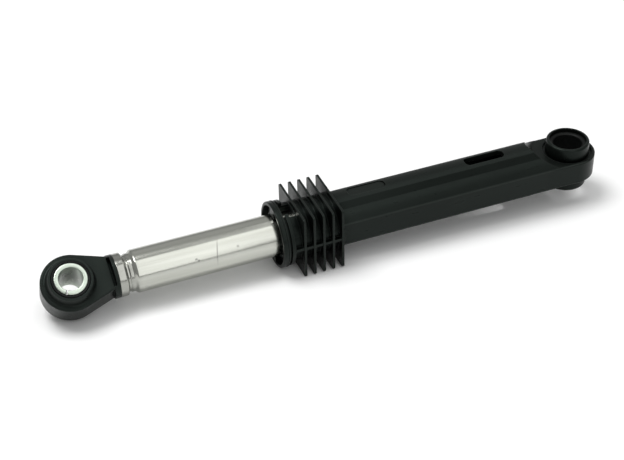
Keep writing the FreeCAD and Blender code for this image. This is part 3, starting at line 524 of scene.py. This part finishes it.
def slot_prism(name, outline, floor, top):
    """Closed outline of (X, across) carried along the bolt's axis from the floor to the top.

    A point is X along the rod, plus across along the plate's width, plus height along the axis.
    """
    flat = outline @ np.array([along_rod, np.cross(bolt_axis, along_rod)])
    points = np.concatenate([flat + floor * bolt_axis, flat + top * bolt_axis])
    count = len(outline)
    ring = np.arange(count)
    onward = np.roll(ring, -1)
    sides = np.column_stack([ring, onward, onward + count, ring + count])
    ends = [ring[::-1].tolist(), (ring + count).tolist()]
    mesh = bpy.data.meshes.new(name)
    mesh.from_pydata(points.tolist(), [], sides.tolist() + ends)
    return add_object(name, mesh)


slot_start = tube_outer_end + 1.5 * MM
slot_end = slot_start + 1.45 * MM
slot_half_length, slot_round = 7.0 * MM, 0.5 * MM
slot_floor, above_collar = 3.5 * MM, 12.0 * MM
slot_outline = rounded_loop([
    (slot_start, -slot_half_length), (slot_end, -slot_half_length),
    (slot_end, slot_half_length), (slot_start, slot_half_length),
], slot_round)
slot_prisms = [
    slot_prism("upper_slot", slot_outline, slot_floor, above_collar),
    slot_prism("lower_slot", slot_outline, -above_collar, -slot_floor),
]

# The solid's triangles are joined in a copy, and the slots are cut from it.
same_place, sharp_angle = 0.001 * MM, math.radians(30)
blank_mesh = solids["rod_eye"].data.copy()
joined = bmesh.new()
joined.from_mesh(blank_mesh)
bmesh.ops.remove_doubles(joined, verts=joined.verts, dist=same_place)
joined.to_mesh(blank_mesh)
joined.free()
blank = add_object("rod_eye_blank", blank_mesh)
for prism in slot_prisms:
    cut = blank.modifiers.new(prism.name, "BOOLEAN")
    cut.operation, cut.solver, cut.object = "DIFFERENCE", "EXACT", prism
cut_blank = blank.evaluated_get(bpy.context.evaluated_depsgraph_get())
slotted_mesh = bpy.data.meshes.new_from_object(cut_blank)
for shape in (blank, *slot_prisms):
    bpy.data.objects.remove(shape)
if "custom_normal" in slotted_mesh.attributes:
    slotted_mesh.attributes.remove(slotted_mesh.attributes["custom_normal"])
slotted_mesh.shade_smooth()
slotted_mesh.set_sharp_from_angle(angle=sharp_angle)
rod_eye = fit_piece(
    "rod_eye_slotted", slotted_mesh, body="rod", node="rod_eye"
)
eye_black = black_moulding(
    "eye_black_nylon", dark=(0.0006, 0.0008, 0.0007), pale=(0.0125, 0.0151, 0.0134),
    rubbed_and_sheen=(0.028, 0.032, 0.0295), flow=(0.5, 1, 1),
)
dress(rod_eye, eye_black)


# Rod eye bush: moulded black rubber, pressed in between the eye and the bolt sleeve, with a thin
# lip standing round each end.
bush_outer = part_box("rod_eye_bush")[1].x - bolt_centre[0]
sleeve_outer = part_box("rod_eye_sleeve")[1].x - bolt_centre[0]
bush_inner = sleeve_outer + 0.02 * MM
bush_end, bush_bevel = 10.9 * MM, 0.4 * MM
lip_inner, lip_outer, lip_top = 7.9 * MM, 8.4 * MM, 11.25 * MM
bush_corners = both_ends([
    (bush_outer, bush_end - bush_bevel), (bush_outer - bush_bevel, bush_end),
    (lip_outer, bush_end), (lip_outer, lip_top), (lip_inner, lip_top), (lip_inner, bush_end),
    (bush_inner, bush_end),
])
bevel_round, lip_round, foot_round = 0.1 * MM, 0.16 * MM, 0.05 * MM
half_rounds = [
    bevel_round, bevel_round, foot_round, lip_round, lip_round, foot_round, foot_round,
]
rod_eye_bush = turned_piece(
    "rod_eye_bush_lipped", rounded_loop(bush_corners, half_rounds + half_rounds[::-1]),
    centre=bolt_centre, axis=bolt_axis, start_dir=along_rod,
    body="rod", node="rod_eye_bush",
)
dress(rod_eye_bush, black_rubber("rod_bush_rubber"))


# Rod eye sleeve: the bolt's bearing sleeve, rolled from zinc-plated strip, so that it stays open
# along one slit. Its ends are cut square with broken edges.
sleeve_bore = bolt["dims"]["r_mm"] * MM
sleeve_end = bolt["dims"]["length_mm"] * MM / 2
sleeve_edge = 0.3 * MM
slit_width, slit_angle = 0.7 * MM, math.radians(60)
slit_half_angle = math.asin(slit_width / (sleeve_bore + sleeve_outer))
sleeve_corners = [
    (sleeve_bore, -sleeve_end), (sleeve_outer, -sleeve_end),
    (sleeve_outer, sleeve_end), (sleeve_bore, sleeve_end),
]
rod_eye_sleeve = turned_piece(
    "rod_eye_sleeve_rolled", rounded_loop(sleeve_corners, sleeve_edge),
    centre=bolt_centre, axis=bolt_axis, start_dir=along_rod,
    body="rod", node="rod_eye_sleeve",
    gap=(slit_angle - slit_half_angle, slit_angle + slit_half_angle),
)
# Painted shade deep in the sleeve's bore, darkest round its middle.
bore_shade = dict(centre=bolt_centre, reach=(12.5 * MM, 12.5 * MM, 12.5 * MM), strength=0.78)
sleeve_zinc = bright_steel(
    "zinc_plated_strip", dull=(0.46, 0.52, 0.45), bright=(0.54, 0.6, 0.525),
    smooth=0.24, rough=0.36, across=(1, 1, 1), marks=(bore_shade,),
)
dress(rod_eye_sleeve, sleeve_zinc)


# Floor: a pale studio floor that the damper lies on, touching the last fin and the rod eye's hub.
# It is pale grey paper that the camera and the steel see as white, and it keeps the soft shadow.
fin_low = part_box("barrel")[0].z
eye_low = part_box("rod_eye")[0].z
last_fin_x = 145.7 * MM
floor_slope = (eye_low - fin_low) / (bolt_centre[0] - last_fin_x)
floor_reach = 4.0
floor_x = np.array([-1, 1, 1, -1]) * floor_reach
floor_y = np.array([-1, -1, 1, 1]) * floor_reach
floor_z = fin_low + floor_slope * (floor_x - last_fin_x)
floor_mesh = bpy.data.meshes.new("studio_floor")
floor_mesh.from_pydata(np.column_stack([floor_x, floor_y, floor_z]).tolist(), [], [(0, 1, 2, 3)])
floor = add_object("studio_floor", floor_mesh)
lit_grey, seen_white, seen_fibre = (0.68,) * 3, (0.925,) * 3, (0.935,) * 3
paper, paper_shader = new_material("white_paper", Roughness=0.9)
fibres = spread(paper, noise_on_object(paper, per_metre=900, place=(-1000, 500)), 0.0, 1.0)
seen_tone = blend_colours(paper, fibres, seen_white, seen_fibre, place=(-400, 500))
rays = add_node(paper, "ShaderNodeLightPath", (-800, 200)).outputs
seen = rays["Is Camera Ray"]
for index, kind in enumerate(("Is Glossy Ray", "Is Transmission Ray")):
    seen = combine(paper, "MAXIMUM", seen, rays[kind], (-600 + 200 * index, 100))
paper_tone = blend_colours(paper, seen, lit_grey, seen_tone, place=(-200, 300))
link(paper, paper_tone, paper_shader.inputs["Base Color"])
dress(floor, paper)


# Studio light: a key box overhead towards the rod's end that throws the shadow, a weaker box over
# the barrel eye, a long strip that slopes from overhead to the front, a dim box behind, and a
# pale room.
def soft_box(name, place, aim, width, depth, power):
    """Rectangular area light at a place, turned to an aim point, sizes in metres."""
    lamp = bpy.data.lights.new(name, "AREA")
    lamp.shape = "RECTANGLE"
    lamp.size, lamp.size_y = width, depth
    lamp.energy = power
    holder = add_object(name, lamp)
    holder.location = place
    direction = Vector(aim) - Vector(place)
    holder.rotation_euler = direction.to_track_quat("-Z", "Y").to_euler()


middle_of_damper = (0.13, 0.0, 0.0)
soft_box(
    "key_box", place=(0.5, -0.25, 1.2), aim=middle_of_damper, width=0.65, depth=0.65, power=11.6
)
soft_box(
    "barrel_box", place=(-0.41, -0.19, 1.2), aim=(-0.41, -0.19, 0.0),
    width=0.42, depth=0.99, power=1.75,
)
soft_box(
    "strip_box", place=(-0.025, 0.78, 0.69), aim=(-0.025, 0.21, -0.13),
    width=0.35, depth=1.86, power=2.9,
)
soft_box(
    "back_box", place=(-0.25, -1.0, 0.85), aim=middle_of_damper, width=1.0, depth=0.7, power=0.25
)
room = bpy.data.worlds.new("pale_room")
bpy.context.scene.world = room
room.use_nodes = True
room_light = room.node_tree.nodes["Background"].inputs
room_light["Color"].default_value = (0.97, 0.98, 0.97, 1.0)
room_light["Strength"].default_value = 0.42
bpy.context.scene.view_settings.view_transform = "Standard"


# Camera: a medium long lens in front of the damper and above it, turned towards its middle and
# rolled by a little over a degree. Its focal length is measured in pixels of the picture.
IMAGE_WIDTH, FOCAL_PIXELS = 624, 1382.04
azimuth, elevation, roll = np.radians((158.955, 37.617, 1.397))
target = np.array((135.62, 0.0, -3.014)) * MM
distance = 648.31 * MM
forward = np.array((
    -math.sin(azimuth) * math.cos(elevation), math.cos(azimuth) * math.cos(elevation),
    -math.sin(elevation),
))
level_right = np.cross(forward, (0, 0, 1))
level_right /= np.linalg.norm(level_right)
level_down = np.cross(forward, level_right)
right = math.cos(roll) * level_right + math.sin(roll) * level_down
down = math.cos(roll) * level_down - math.sin(roll) * level_right
place = target - forward * distance
camera_data = bpy.data.cameras.new("photo_camera")
camera_data.sensor_fit = "HORIZONTAL"
camera_data.sensor_width = 36.0
camera_data.lens = FOCAL_PIXELS / IMAGE_WIDTH * camera_data.sensor_width
camera_data.clip_start = 0.01
camera = add_object("photo_camera", camera_data)
camera.matrix_world = Matrix((
    (right[0], -down[0], -forward[0], place[0]),
    (right[1], -down[1], -forward[1], place[1]),
    (right[2], -down[2], -forward[2], place[2]),
    (0, 0, 0, 1),
))
bpy.context.scene.camera = camera
